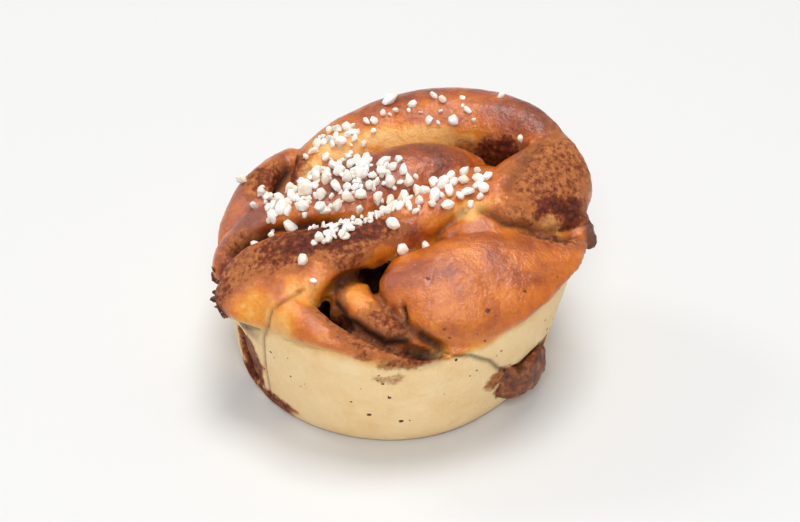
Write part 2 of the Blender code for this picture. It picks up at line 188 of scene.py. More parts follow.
BROWN_MARKS = [
    (10, 14, 50.8, 18, 6, 4, 8, 0.85), (8, 37, 52, 26, 5, 4, 0, 0.6), (33, 27, 53, 9, 8, 5, 0, 0.85),
    (33, 12, 52, 4, 10, 4, 25, 0.6), (-36, 1, 41, 9, 5.5, 5, 30, 0.85), (-12, 6, 49, 17, 9, 6, 0, 0.85),
    (-38, 10, 39, 6, 10, 6, 0, 0.5), (-2, -22, 41, 4, 6, 5, 0, 0.5), (-2, -13, 44.5, 12, 4, 3, 12, 0.5),
    (20, -12.5, 45, 18, 3, 3, -4, 0.25), (6, -26, 43.6, 8, 3, 3, 10, 0.45),
    (2.5, -22.5, 41, 4, 5, 4, 0, 0.4), (-41, -9, 35, 4, 7, 6, 20, 0.6), (40, -9, 40, 9, 3, 4, 10, 0.4),
]
PALE_MARKS = [
    (2, 25.5, 47, 15, 2.6, 4, 0, 0.75), (-14, 24.5, 45, 9, 4, 4, 0, 0.7), (-22.5, 18, 41, 4, 5, 4, 0, 0.8),
    (17.2, -5.6, 47.4, 4.5, 2.4, 3, 20, 0.75), (0.5, -19, 38, 3, 4, 5, 0, 0.35),
    (37.6, -4.4, 42.6, 3.6, 1.8, 2, 0, 0.75), (-22.5, -26, 38, 4.5, 4, 4, 0, 0.6),
    (-33, -27, 31, 8, 5, 7, 0, 0.5), (-28.5, -32, 33.5, 6, 5, 5, 0, 0.7), (43, -13, 32, 5, 5, 4, 0, 0.5),
    (-8, -26, 38.2, 4, 6, 3, 0, 0.3), (-6, -17, 42.3, 16, 2, 2, 10, 0.2),
]


def section(angle, half_width, half_height):
    """Point of a superellipse, a soft rectangle, at an angle."""
    c = math.cos(angle)
    s = math.sin(angle)
    across = math.copysign(abs(c) ** (2 / SECTION_POWER), c) * half_width
    return across, math.copysign(abs(s) ** (2 / SECTION_POWER), s) * half_height


def along_stations(stations, t):
    """Smooth values of all columns of a station table at t from 0 to 1."""
    spans = len(stations) - 1
    position = min(max(t, 0.0), 1.0) * spans
    i = min(int(position), spans - 1)
    f = position - i
    rows = [stations[min(max(i + k, 0), spans)] for k in (-1, 0, 1, 2)]
    weights = (-0.5 * f + f * f - 0.5 * f ** 3, 1 - 2.5 * f * f + 1.5 * f ** 3,
               0.5 * f + 2 * f * f - 1.5 * f ** 3, -0.5 * f * f + 0.5 * f ** 3)
    return [sum(w * row[c] for w, row in zip(weights, rows)) for c in range(len(stations[0]))]


def bump(angle, middle, width):
    """Smooth bump of height one round a direction, both in degrees."""
    away = (math.degrees(angle) - middle + 180) % 360 - 180
    return math.exp(-((away / width) ** 2))


def ease(value):
    """Smooth step from 0 to 1."""
    value = min(max(value, 0.0), 1.0)
    return value * value * (3 - 2 * value)


def rim_height(angle):
    """Height of the cup's edge, which leans with the knot and dips at the front right."""
    return RIM_MEAN + RIM_TILT * math.cos(angle - RIM_HIGH_SIDE) - RIM_DIP * bump(angle, 290, 42)


def drum_radius(angle, z):
    """Radius of the tapered wall, slightly out of round and flattened at the front right."""
    flare = BASE_RADIUS + (RIM_RADIUS - BASE_RADIUS) * min(z / CUP_HEIGHT, 1.1)
    return flare * (1 + 0.01 * math.cos(2 * angle + 1.2)) - 1.6 * bump(angle, 316, 26)


def held_by_cup(point, inset):
    """Keep a point inside the cup's wall, and let it swell a little over the edge above."""
    angle = math.atan2(point.y, point.x)
    above = ease((point.z - rim_height(angle) + 1.5 + LEFT_DROOP * bump(angle, 199, 20)) / OVERHANG_RISE)
    overhang = OVERHANG + 2.4 * bump(angle, 200, 32) + 3.2 * bump(angle, 4, 24) - 1.9 * bump(angle, 258, 34)
    limit = drum_radius(angle, point.z) - RIM_TUCK + (overhang + RIM_TUCK) * above - inset
    reach = math.hypot(point.x, point.y)
    if reach > limit:
        return Vector((point.x * limit / reach, point.y * limit / reach, point.z))
    return point


def strap_point(stations, around, t, inset):
    """Point on the skin of a strap with rounded ends, around and t from 0 to 1."""
    x, y, z, half_width, half_height, roll = along_stations(stations, t)
    ahead = Vector(along_stations(stations, t + 0.02)[:3])
    behind = Vector(along_stations(stations, t - 0.02)[:3])
    forward = (ahead - behind).normalized()
    side = forward.cross(Vector((0, 0, 1))).normalized()
    up = side.cross(forward)
    near_end = min(1.0, min(t, 1 - t) / 0.09)
    squash = math.sqrt(max(0.0, 1 - (1 - near_end) ** 2))
    a, b = section(2 * math.pi * around, half_width * squash, half_height * squash)
    turn = math.radians(roll)
    across = a * math.cos(turn) - b * math.sin(turn)
    height = a * math.sin(turn) + b * math.cos(turn)
    return held_by_cup(Vector((x, y, z)) + side * across + up * height, inset) * MM


def drum_point(around, t):
    """Point on the drum: flat base, tapered wall, rounded edge and a hollowed top under the knot."""
    angle = 2 * math.pi * around
    rim = rim_height(angle)
    hollow = 8.0 - 7.0 * bump(angle, 297, 20)
    profile = [
        (0.0, 0.0, 0.0), (0.12, 0.0, 0.55), (0.2, 0.0, 0.955), (0.26, 0.7, 0.985), (0.32, 3.2, 1.0),
        (0.45, 0.4 * rim, 1.0), (0.62, 0.85 * rim, 1.0), (0.68, rim, 0.985), (0.73, rim + 0.6, 0.955),
        (0.78, rim - 0.6, 0.9), (0.86, rim - 0.75 * hollow, 0.78), (0.93, rim - hollow, 0.45),
        (1.0, RIM_MEAN - 8.0, 0.0),
    ]
    k = 0
    while k < len(profile) - 2 and t > profile[k + 1][0]:
        k += 1
    low, high = profile[k], profile[k + 1]
    f = (t - low[0]) / (high[0] - low[0])
    z = low[1] + (high[1] - low[1]) * f
    r = (low[2] + (high[2] - low[2]) * f) * drum_radius(angle, z)
    shift = max(0.0, 1 - z / CUP_HEIGHT)
    x = BASE_CENTRE[0] * shift + r * math.cos(angle)
    return Vector((x, BASE_CENTRE[1] * shift + r * math.sin(angle), z)) * MM


def wrap_skin(bm, place, around, stops):
    """Wrap a grid round into a closed skin, its ends drawn together to points."""
    made = bmesh.ops.create_grid(bm, x_segments=around, y_segments=len(stops) - 1, size=1.0)["verts"]
    faces = list({face for v in made for face in v.link_faces})
    for v in made:
        u = (v.co.x + 1) / 2
        v.co = place(u % 1.0 if u < 0.9999 else 0.0, stops[round((v.co.y + 1) / 2 * (len(stops) - 1))])
    bmesh.ops.remove_doubles(bm, verts=made, dist=1e-6)
    bmesh.ops.recalc_face_normals(bm, faces=[face for face in faces if face.is_valid])


def filling_point(stations, around, t, grow):
    """Point on the skin of the upright cinnamon layer, grown by a clearance for the cutter."""
    x, y, z, half_width, half_height = along_stations(stations, t)
    ahead = Vector(along_stations(stations, t + 0.02))
    behind = Vector(along_stations(stations, t - 0.02))
    forward = Vector((ahead[0] - behind[0], ahead[1] - behind[1], 0)).normalized()
    near_end = min(1.0, min(t, 1 - t) / 0.06)
    squash = math.sqrt(max(0.0, 1 - (1 - near_end) ** 2))
    a, b = section(2 * math.pi * around, (half_width + grow) * squash, (half_height + grow) * squash)
    tip = forward * grow * (1 if t > 0.5 else -1) * (1 - squash)
    point = Vector((x, y, z)) + forward.cross(Vector((0, 0, 1))) * a + Vector((0, 0, b)) + tip
    reach = math.hypot(point.x, point.y)
    limit = drum_radius(math.atan2(point.y, point.x), point.z) - SLOT_DEPTH
    if point.x < -20 and grow == 0.0 and reach > limit:
        point = Vector((point.x * limit / reach, point.y * limit / reach, point.z))
    return point * MM


def piece_from(bm, name):
    """Object of the scene with the bmesh as its mesh, shaded smooth."""
    mesh = bpy.data.meshes.new(name)
    bm.to_mesh(mesh)
    bm.free()
    mesh.shade_smooth()
    made = bpy.data.objects.new(name, mesh)
    bpy.context.scene.collection.objects.link(made)
    return made


def centre_on_base(piece):
    """Move a piece from the knot's own centre to the middle of the base."""
    piece.data.transform(Matrix.Translation(Vector((*KNOT_SHIFT, 0)) * MM))


def finish_modifier(piece, kind, **settings):
    """Add one modifier with its settings and put its result in place of the mesh."""
    modifier = piece.modifiers.new("shape", kind)
    for setting, value in settings.items():
        setattr(modifier, setting, value)
    graph = bpy.context.evaluated_depsgraph_get()
    result = bpy.data.meshes.new_from_object(piece.evaluated_get(graph))
    piece.modifiers.clear()
    piece.data = result


def smooth(bm, verts, factor):
    """Move vertices towards the middle of their neighbours."""
    bmesh.ops.smooth_vert(bm, verts=verts, factor=factor, use_axis_x=True, use_axis_y=True, use_axis_z=True)


def nearest_on_line(point, line):
    """Distance from a point to a line of points."""
    best = 1e9
    for a, b in zip(line, line[1:]):
        span = b - a
        f = min(max((point - a).dot(span) / span.length_squared, 0.0), 1.0)
        best = min(best, (point - a - span * f).length)
    return best


def mark_weight(point, marks):
    """Strongest of a table of soft oval marks at a point."""
    best = 0.0
    for x, y, z, half_length, half_width, half_height, turn, strength in marks:
        dz = (point.z - z) / half_height
        dx = point.x - x
        dy = point.y - y
        if abs(dz) > 1.6 or abs(dx) > 1.6 * max(half_length, half_width):
            continue
        c = math.cos(math.radians(turn))
        s = math.sin(math.radians(turn))
        away = ((dx * c + dy * s) / half_length) ** 2 + ((dy * c - dx * s) / half_width) ** 2 + dz * dz
        best = max(best, strength * ease((1.55 - math.sqrt(away)) / 1.0))
    return best


def towards(degrees):
    """Level direction at an angle."""
    return Vector((math.cos(math.radians(degrees)), math.sin(math.radians(degrees)), 0))


def on_crust(skin_of, x, y):
    """Point of the skin straight below a place, in millimetres."""
    return skin_of.ray_cast(Vector((x, y, ABOVE_ALL)) * MM, Vector((0, 0, -1)))[0] / MM


def on_wall(skin_of, heading, z):
    """Point of the skin met from outside at a direction and a height, in millimetres."""
    outward = towards(heading)
    return skin_of.ray_cast((Vector((*BASE_CENTRE, z)) + outward * BEYOND_ALL) * MM, -outward)[0] / MM


def seam_path(skin_of, land, stops):
    """Points on the skin along a seam, two to each span between its stops."""
    halved = [((a[0] + b[0]) / 2, (a[1] + b[1]) / 2) for a, b in zip(stops, stops[1:])]
    in_order = [place for pair in zip(stops, halved) for place in pair] + [stops[-1]]
    return [land(skin_of, *place) for place in in_order]


knot = bmesh.new()
strap_mesh = bpy.data.meshes.new("strap")
strap_skins = {}
for order, (strap_name, stations) in enumerate(STRAPS.items()):
    strap = bmesh.new()
    inset = 0.12 * order
    wrap_skin(strap, lambda u, t: strap_point(stations, u, t, inset), 36, [k / 90 for k in range(91)])
    strap_skins[strap_name] = BVHTree.FromBMesh(strap)
    strap.to_mesh(strap_mesh)
    strap.free()
    knot.from_mesh(strap_mesh)
bpy.data.meshes.remove(strap_mesh)
drum_stops = [0, 0.06, 0.12, 0.2, 0.23, 0.26, 0.29, 0.32, 0.38, 0.45, 0.53, 0.62, 0.65, 0.68,
              0.705, 0.73, 0.755, 0.78, 0.82, 0.86, 0.93, 1.0]
wrap_skin(knot, drum_point, 120, drum_stops)
wrap_skin(knot, lambda u, t: strap_point(CARAMEL_DRIP, u, t, -20.0), 12, [k / 24 for k in range(25)])
dough = piece_from(knot, "knotted_dough")
finish_modifier(dough, "REMESH", mode="VOXEL", voxel_size=SKIN_VOXEL * MM, use_smooth_shade=True)

room = bmesh.new()
wrap_skin(room, lambda u, t: filling_point(FILLING_ROOM, u, t, 0.45), 24, [k / 60 for k in range(61)])
filling_room = piece_from(room, "filling_room")
finish_modifier(dough, "BOOLEAN", operation="DIFFERENCE", solver="EXACT", object=filling_room)
bpy.data.objects.remove(filling_room)

skin = bmesh.new()
skin.from_mesh(dough.data)
for _ in range(SMOOTHING_PASSES):
    smooth(skin, [v for v in skin.verts if v.co.z > 0.3 * MM], 0.5)
skin.normal_update()

# How much open sky each place sees sets how brown it bakes, and where it sees little, how much painted shade it
# gets
open_sky = [Vector((0, 0, 1))]
for ring, tilt in enumerate((35, 62)):
    for k in range(6):
        rise = math.radians(90 - tilt)
        open_sky.append(towards(60 * k + 30 * ring) * math.cos(rise) + Vector((0, 0, math.sin(rise))))
shape = BVHTree.FromBMesh(skin)
bake_of, cinnamon_and_shade_of, painted_crease_shade_of, caramel_of = [], [], [], []
moves = []
seam_lines = []
for seams, land in ((CRUST_SEAMS, on_crust), (WALL_SEAMS, on_wall)):
    for width, depth, seam_shade, stops in seams:
        seam_lines.append((width, depth, seam_shade, seam_path(shape, land, stops)))
for v in skin.verts:
    here = v.co / MM
    seen = 0
    for way in open_sky:
        if shape.ray_cast(v.co + v.normal * 0.4 * MM, way, SKY_REACH * MM)[0] is None:
            seen += 1
    sky = seen / len(open_sky)
    wander = noise.noise_vector(here / 4.0) * 1.5 + noise.noise_vector(here / 1.3) * 0.6
    ragged = here + wander
    angle = math.atan2(here.y, here.x)
    edge = here.z - rim_height(angle) + 0.6 + (LEFT_DROOP + 1.5) * bump(angle, 199, 18) + 0.5 * wander.z
    browned = ease(edge / (6.0 - 3.5 * bump(angle, 292, 16)) + 0.3)
    near = sorted((skin_of.find_nearest(v.co, STRAP_REACH * MM)[3] or STRAP_REACH * MM, name)
                  for name, skin_of in strap_skins.items())
    outside = math.hypot(here.x, here.y) > WALL_REACH
    pale = mark_weight(ragged, PALE_MARKS)
    lies_on = "cup" if edge < -2.5 and outside else near[0][1]
    cinnamon_and_shade = mark_weight(ragged, CINNAMON_MARKS[lies_on]) * (1 - 0.7 * pale)
    # Hidden places inside the knot that see little sky darken towards the cinnamon tone: cinnamon that shows in
    # the folds, and painted shade in the recesses
    if not outside:
        cinnamon_and_shade = max(cinnamon_and_shade, 0.75 * ease((0.42 - sky) / 0.3))
    brown = mark_weight(ragged, BROWN_MARKS)
    blotch = noise.noise(here / 7.0) * 0.5 + 0.5
    bake = browned * (0.27 + 0.24 * ease((sky - 0.25) / 0.6) + 0.2 * blotch) + 0.11 * blotch
    bake = bake + (1 - bake) * brown * 0.75
    bake = bake * (1 - 0.82 * pale)
    reach, depth = OPEN_FOLDS.get(tuple(sorted((near[0][1], near[1][1]))), USUAL_FOLD)
    fold = math.exp(-((near[1][0] / MM / (reach + 0.15 * wander.x)) ** 2))
    fold *= 1 - ease((sky - 0.76) / 0.24)
    fold *= (1 - mark_weight(here, SOFT_FOLDS)) * (ease((edge + 3.0) / 2.5) if outside else 1.0)
    # Painted shade: near black where the place sees little sky, and along the fold to the nearest other strap
    painted_crease_shade = max(1.0 - ease((sky - 0.02) / 0.30), (0.8 if reach < 1 else 1.0) * fold)
    press = depth * fold
    for width, depth, seam_shade, line in seam_lines:
        away = nearest_on_line(here, line)
        if away < 3 * width:
            groove = math.exp(-((away / width) ** 2))
            press = max(press, depth * groove)
            # Painted shade along the seam
            painted_crease_shade = max(painted_crease_shade, seam_shade * math.exp(-((away / (0.8 * width)) ** 2)))
    drip = ease((here.x - 44.5) / 2.5) * ease((here.z - 32) / 2.0) * ease((6 - here.y) / 3.0)
    lip = bump(angle, 200, 13) * ease((26.5 - here.z) / 3.0) * ease((here.z - 20.5) / 1.5)
    caramel = max(drip, lip * ease(0.9 + noise.noise(here / 2.0)))
    rise = 0.38 * noise.noise(here / 9.0) + 0.10 * noise.noise(here / 2.6)
    rise *= 0.35 + 0.65 * browned
    rise += cinnamon_and_shade * (0.28 * noise.noise(here / 1.9) + 0.16 * noise.noise(here / 1.0))
    rise += caramel * 0.5 * noise.noise(here / 1.4)
    rise *= ease(here.z / 2.5)
    moves.append(v.normal * (rise - press) * MM)
    bake_of.append(min(1.0, bake))
    cinnamon_and_shade_of.append(min(1.0, cinnamon_and_shade))
    painted_crease_shade_of.append(min(1.0, painted_crease_shade))
    caramel_of.append(min(1.0, caramel))
for v, move in zip(skin.verts, moves):
    v.co += move
    v.co.z = max(v.co.z, 0.0)
skin.to_mesh(dough.data)
skin.free()
# The crease mask is painted shade; the cinnamon mask holds cinnamon and painted shade of hidden recesses
for name, values in (("bake", bake_of), ("cinnamon", cinnamon_and_shade_of), ("painted_crease_shade", painted_crease_shade_of), ("caramel", caramel_of)):
    dough.data.attributes.new(name, "FLOAT", "POINT").data.foreach_set("value", values)
centre_on_base(dough)
dough.data.shade_smooth()


def linear(hex_colour):
    """Linear RGBA of an sRGB hex colour."""
    parts = [int(hex_colour[k:k + 2], 16) / 255 for k in (1, 3, 5)]
    return (*[p / 12.92 if p <= 0.04045 else ((p + 0.055) / 1.055) ** 2.4 for p in parts], 1.0)


def add(tree, kind, settings, sockets):
    """Add a shader node, set its properties, and set or link its sockets."""
    made = tree.nodes.new(kind)
    for name, value in settings.items():
        setattr(made, name, value)
    for name, value in sockets.items():
        if isinstance(value, bpy.types.NodeSocket):
            tree.links.new(value, made.inputs[name])
        else:
            made.inputs[name].default_value = value
    return made


def tone_ramp(tree, factor, tones):
    """Colours over a factor, from pairs of position and sRGB hex colour in rising order."""
    made = add(tree, "ShaderNodeValToRGB", {}, {"Fac": factor})
    stops = made.color_ramp.elements
    stops[0].position = tones[0][0]
    stops[1].position = tones[-1][0]
    for position, _ in tones[1:-1]:
        stops.new(position)
    for stop, (_, tone) in zip(stops, tones):
        stop.color = linear(tone)
    return made.outputs["Color"]


def grain(tree, place, scale, detail, roughness):
    """Noise over the Object coordinates, from 0 to 1."""
    settings = {"Vector": place, "Scale": scale, "Detail": detail, "Roughness": roughness}
    return add(tree, "ShaderNodeTexNoise", {}, settings).outputs["Fac"]


def maths(tree, operation, *values, clamped=False):
    """Result of one maths node."""
    sockets = dict(enumerate(values))
    return add(tree, "ShaderNodeMath", {"operation": operation, "use_clamp": clamped}, sockets).outputs[0]


def spread_over(tree, value, low, high, to_low=0.0, to_high=1.0):
    """Value brought from one range to another."""
    sockets = {"Value": value, "From Min": low, "From Max": high, "To Min": to_low, "To Max": to_high}
    return add(tree, "ShaderNodeMapRange", {}, sockets).outputs[0]


def blend(tree, factor, first, second):
    """Mix of two numbers."""
    sockets = {"Factor": factor, 2: first, 3: second}
    return add(tree, "ShaderNodeMix", {"data_type": "FLOAT"}, sockets).outputs[0]


def blend_tones(tree, factor, first, second):
    """Mix of two colours."""
    sockets = {"Factor": factor, 6: first, 7: second}
    return add(tree, "ShaderNodeMix", {"data_type": "RGBA"}, sockets).outputs[2]


def relief_of(tree, height, strength, distance):
    """Normal of a bump, its distance in metres."""
    sockets = {"Height": height, "Strength": strength, "Distance": distance}
    return add(tree, "ShaderNodeBump", {}, sockets).outputs[0]


def new_finish(name):
    """Empty material with its output, and the tree and Object coordinates to build on."""
    made = bpy.data.materials.new(name)
    made.use_nodes = True
    made.node_tree.nodes.clear()
    place = made.node_tree.nodes.new("ShaderNodeTexCoord").outputs["Object"]
    return made, made.node_tree, place


# Egg-washed crust over soft crumb: pale and matt where the cup held it, brown and glossy above, dull and gritty
# where cinnamon butter baked on, darker with painted shade in hidden recesses, and near black with painted
# shade in the creases, slots and seams.
crust, tree, place = new_finish("egg_washed_crust")
bake, cinnamon, painted_crease_shade, caramel = (
    add(tree, "ShaderNodeAttribute", {"attribute_name": name}, {}).outputs["Fac"]
    for name in ("bake", "cinnamon", "painted_crease_shade", "caramel"))
mottle = maths(tree, "MULTIPLY_ADD", grain(tree, place, 210, 6, 0.62), 0.55, -0.275)
fine_mottle = maths(tree, "MULTIPLY_ADD", grain(tree, place, 1100, 3, 0.6), 0.22, -0.11)
crustiness = spread_over(tree, bake, 0.05, 0.4, 0.3)
mottle_here = maths(tree, "MULTIPLY", maths(tree, "ADD", mottle, fine_mottle), crustiness)
toned = maths(tree, "ADD", bake, mottle_here, clamped=True)
crust_tone = tone_ramp(tree, toned, [
    (0.0, "#FDDFAC"), (0.2, "#EBBC74"), (0.4, "#E08E28"), (0.6, "#CC6C14"), (0.8, "#9C4512"), (1.0, "#5E2610")])
grit = grain(tree, place, 780, 6, 0.62)
thick = maths(tree, "MULTIPLY_ADD", cinnamon, -1.35, 1.12)
grit_tone = maths(tree, "ADD", spread_over(tree, grit, 0.30, 0.72), thick, clamped=True)
cinnamon_tone = tone_ramp(tree, grit_tone, [(0.0, "#45180B"), (0.5, "#763418"), (1.0, "#BE7440")])
patchy = maths(tree, "MULTIPLY_ADD", grain(tree, place, 620, 8, 0.75), 1.3, -0.65)
# The cinnamon mask also holds painted shade of hidden recesses
cinnamon_and_shade = add(tree, "ShaderNodeMapRange", {"interpolation_type": "SMOOTHSTEP"},
            {"Value": maths(tree, "ADD", cinnamon, patchy), "From Min": 0.18, "From Max": 0.62}).outputs[0]
stained = blend_tones(tree, cinnamon_and_shade, crust_tone, cinnamon_tone)
burnt = blend_tones(tree, caramel, stained, linear("#65361F"))
# Painted shade: the crease mask darkens the crust to near black
crease_shaded = blend_tones(tree, painted_crease_shade, burnt, linear("#2C1209"))
dull = maths(tree, "MAXIMUM", cinnamon_and_shade, painted_crease_shade)
rough = blend(tree, dull, spread_over(tree, toned, 0.1, 0.45, 0.62, 0.33), 0.58)
relief = maths(tree, "MULTIPLY_ADD", grit, cinnamon_and_shade, grain(tree, place, 520, 5, 0.55))
relief_all = maths(tree, "MULTIPLY_ADD", grain(tree, place, 1500, 4, 0.6), 0.35, relief)
skin_bump = relief_of(tree, relief_all, 0.8, 0.0006)
glaze = blend(tree, dull, spread_over(tree, toned, 0.15, 0.5, 0.0, 0.66), 0.08)
shader = add(tree, "ShaderNodeBsdfPrincipled", {}, {
    "Base Color": crease_shaded, "Roughness": rough, "Normal": skin_bump, "IOR": 1.46,
    "Specular IOR Level": blend(tree, dull, 0.5, 0.2),
    "Subsurface Weight": 0.06, "Subsurface Radius": (0.9, 0.6, 0.3), "Subsurface Scale": 0.0015,
    "Coat Weight": glaze, "Coat Roughness": 0.1, "Coat Normal": skin_bump})
add(tree, "ShaderNodeOutputMaterial", {}, {"Surface": shader.outputs[0]})
dough.data.materials.clear()
dough.data.materials.append(crust)
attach(dough, "root")
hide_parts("dough")

# ------------------------------------------------------------------ cinnamon layer
# Butter, sugar and ground cinnamon that boiled to a rough caramel in the oven. It runs through the
# knot as an upright sheet and shows in the wall, at the left and at the lower right.
layer = bmesh.new()
wrap_skin(layer, lambda u, t: filling_point(FILLING, u, t, 0.0), 40, [k / 260 for k in range(261)])
layer.normal_update()
for v in layer.verts:
    here = v.co / MM
    open_end = max(ease((here.x - 25) / 4), ease((-31 - here.x) / 3))
    boiled = 0.55 * noise.noise(here / 2.8) + 0.25 * noise.noise(here / 1.1)
    v.co += v.normal * (0.16 * noise.noise(here / 1.2) + open_end * boiled) * MM
    v.co.z = max(v.co.z, 0.4 * MM)
filling = piece_from(layer, "cinnamon_layer")
centre_on_base(filling)

caramelised, tree, place = new_finish("baked_cinnamon_butter")
clumps = grain(tree, place, 420, 6, 0.65)
clump_tone = tone_ramp(tree, clumps, [(0.32, "#30130A"), (0.5, "#7C4020"), (0.68, "#B0703C")])
shader = add(tree, "ShaderNodeBsdfPrincipled", {}, {
    "Base Color": clump_tone, "Normal": relief_of(tree, clumps, 0.8, 0.0006), "Roughness": 0.5, "IOR": 1.46,
    "Coat Weight": 0.12, "Coat Roughness": 0.2})
add(tree, "ShaderNodeOutputMaterial", {}, {"Surface": shader.outputs[0]})
filling.data.materials.append(caramelised)
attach(filling, "root")
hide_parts("cinnamon_filling")

# ------------------------------------------------------------------ pearl sugar
# Compressed white sugar broken into nuggets of 2 to 4.5 mm and strewn over the egg-washed dough.
# The largest keep the places of the solid; small chips lie between them.
SUGAR_SEED = 29
CHIP_SEED = 7
# Patches: x, y of the middle, half length, half width, turn in degrees, number, smallest and largest grain
SUGAR_PATCHES = [
    (-12.5, 2.5, 16, 8, 8, 66, 2.4, 4.1), (-26.5, -1, 5, 4.5, 0, 9, 2.6, 4.4),
    (-31, 11, 4.5, 1.4, -35, 4, 2.4, 3.6), (10, -0.5, 13, 6, 20, 33, 2.4, 4.0),
    (-9, -10, 13, 1.3, 25, 8, 1.6, 2.2), (-15, -14.5, 5, 1.8, 0, 4, 2.2, 3.4),
    (-17, 25, 6.5, 4.5, 30, 11, 2.4, 3.6), (6, 29, 24, 4.5, 5, 9, 2.0, 3.4),
]
LONE_GRAINS = [  # x, y, size
    (-1.2, -12.3, 4.4), (1.5, -16, 4.4), (6.5, -12.4, 3.4), (-22.5, -20, 3.6), (-20, -24.4, 2.2),
    (-39, 17.5, 3.4), (-36, 9, 2.6), (-34.5, -6.7, 2.8), (-30.5, -8.7, 1.9), (-1.8, 35.3, 3.9),
    (14, 27, 3.8), (30.8, 21, 2.4),
]
SUGAR_CHIPS = 190
LEDGE_DUST = [(-22, -10), (-15, -11), (-9, -12), (-4, -9), (1, -4), (4, 0)]  # x, y along the ledge
DUST_TO_SPAN = 11


def in_patch(x, y, a, b, turn):
    """Plan position of a place in a patch, a and b along its axes from its middle."""
    return x + a * math.cos(turn) - b * math.sin(turn), y + a * math.sin(turn) + b * math.cos(turn)


def sugar_places():
    """Plan position and size of every nugget, the largest first, kept apart by a seeded draw."""
    draw = random.Random(SUGAR_SEED)
    wanted = [(size, x, y, 0.0, 0.0, 0.0) for x, y, size in LONE_GRAINS]
    for x, y, half_length, half_width, turn, count, small, large in SUGAR_PATCHES:
        for _ in range(count):
            size = small + (large - small) * draw.random() ** 1.6
            wanted.append((size, x, y, half_length, half_width, math.radians(turn)))
    wanted.sort(key=lambda grain: -grain[0])
    placed = []
    for size, x, y, half_length, half_width, turn in wanted:
        for _ in range(24):
            reach = math.sqrt(draw.random()) * (0.75 + 0.35 * draw.random())
            angle = 2 * math.pi * draw.random()
            a = half_length * reach * math.cos(angle)
            b = half_width * reach * math.sin(angle)
            px, py = in_patch(x, y, a, b, turn)
            if all(math.hypot(px - q[0], py - q[1]) > 0.385 * (size + q[2]) for q in placed):
                placed.append((px, py, size))
                break
    return placed


def nugget(heap, centre, sizes, turn, draw, finer):
    """Broken lump: an icosphere with its corners moved in or out, then cut finer and roughened."""
    lump = bmesh.new()
    bmesh.ops.create_icosphere(lump, subdivisions=1, radius=1.0)
    for v in lump.verts:
        corner = v.co * (1 + 1.9 * (draw.uniform(0.84, 1.12) - 0.98))
        corner = Vector((corner.x * sizes[0] * 1.1, corner.y * sizes[1], corner.z * sizes[2] * 0.9))
        corner.rotate(turn)
        v.co = corner
    for _ in range(finer):
        bmesh.ops.subdivide_edges(lump, edges=list(lump.edges), cuts=1, use_grid_fill=True)
        smooth(lump, lump.verts, 0.3)
    for v in lump.verts:
        v.co += v.co.normalized() * 0.10 * noise.noise(v.co * 1.1 + centre)
        v.co = (v.co * 1.06 + centre) * MM
    lump.to_mesh(lump_mesh)
    lump.free()
    heap.from_mesh(lump_mesh)


def any_turn(draw):
    """Turn drawn at random about all three axes."""
    return Euler([draw.uniform(0, 2 * math.pi) for _ in range(3)])


def drop_on_dough(x, y):
    """Place and direction of the dough's skin under a point of the plan, in millimetres."""
    start = Vector((x + KNOT_SHIFT[0], y + KNOT_SHIFT[1], ABOVE_ALL)) * MM
    hit, normal, _, _ = surface.ray_cast(start, Vector((0, 0, -1)))
    return (hit / MM, normal) if hit else (None, None)


surface = BVHTree.FromObject(dough, bpy.context.evaluated_depsgraph_get())
lump_mesh = bpy.data.meshes.new("lump")
sugar_bm = bmesh.new()
draw = random.Random(SUGAR_SEED)
for x, y, size in sugar_places():
    hit, normal = drop_on_dough(x, y)
    half = 0.46 * size
    sizes = (half * draw.uniform(0.95, 1.25), half * draw.uniform(0.8, 1.0), half * draw.uniform(0.75, 0.95))
    nugget(sugar_bm, hit + normal * 0.5 * half, sizes, any_turn(draw), draw, 2)
chips = random.Random(CHIP_SEED)
for _ in range(SUGAR_CHIPS):
    x, y, half_length, half_width, turn, *_ = chips.choice(SUGAR_PATCHES[:1] * 5 + SUGAR_PATCHES)
    reach = math.sqrt(chips.random()) * 1.15
    angle = 2 * math.pi * chips.random()
    a = half_length * reach * math.cos(angle)
    b = half_width * reach * math.sin(angle)
    hit, normal = drop_on_dough(*in_patch(x, y, a, b, math.radians(turn)))
    half = chips.uniform(0.5, 1.25)
    if hit:
        nugget(sugar_bm, hit + normal * 0.3 * half, (half * 1.2, half, half * 0.8), any_turn(chips), chips, 1)
for (x0, y0), (x1, y1) in zip(LEDGE_DUST, LEDGE_DUST[1:]):
    for k in range(DUST_TO_SPAN):
        f = (k + chips.random()) / DUST_TO_SPAN
        x = x0 + (x1 - x0) * f + chips.uniform(-0.5, 0.5)
        y = y0 + (y1 - y0) * f + chips.uniform(-0.5, 0.5)
        hit, normal = drop_on_dough(x, y)
        half = chips.uniform(0.4, 0.95)
        nugget(sugar_bm, hit + normal * 0.1 * half, (half * 1.3, half, half * 0.6), any_turn(chips), chips, 1)
bpy.data.meshes.remove(lump_mesh)
sugar = piece_from(sugar_bm, "pearl_sugar")
sugar.data.set_sharp_from_angle(angle=math.radians(38))

sugar_white, tree, place = new_finish("compressed_sugar")
tint = tone_ramp(tree, grain(tree, place, 300, 3, 0.5), [(0.35, "#F3E2CC"), (0.6, "#FCFAF6")])
crystals = relief_of(tree, grain(tree, place, 2200, 3, 0.6), 0.35, 0.0003)
shader = add(tree, "ShaderNodeBsdfPrincipled", {}, {
    "Base Color": tint, "Normal": crystals, "Roughness": 0.5, "IOR": 1.5,
    "Subsurface Weight": 0.35, "Subsurface Radius": (1.0, 0.9, 0.75), "Subsurface Scale": 0.0012})
add(tree, "ShaderNodeOutputMaterial", {}, {"Surface": shader.outputs[0]})
sugar.data.materials.append(sugar_white)
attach(sugar, "root")
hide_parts("dough")

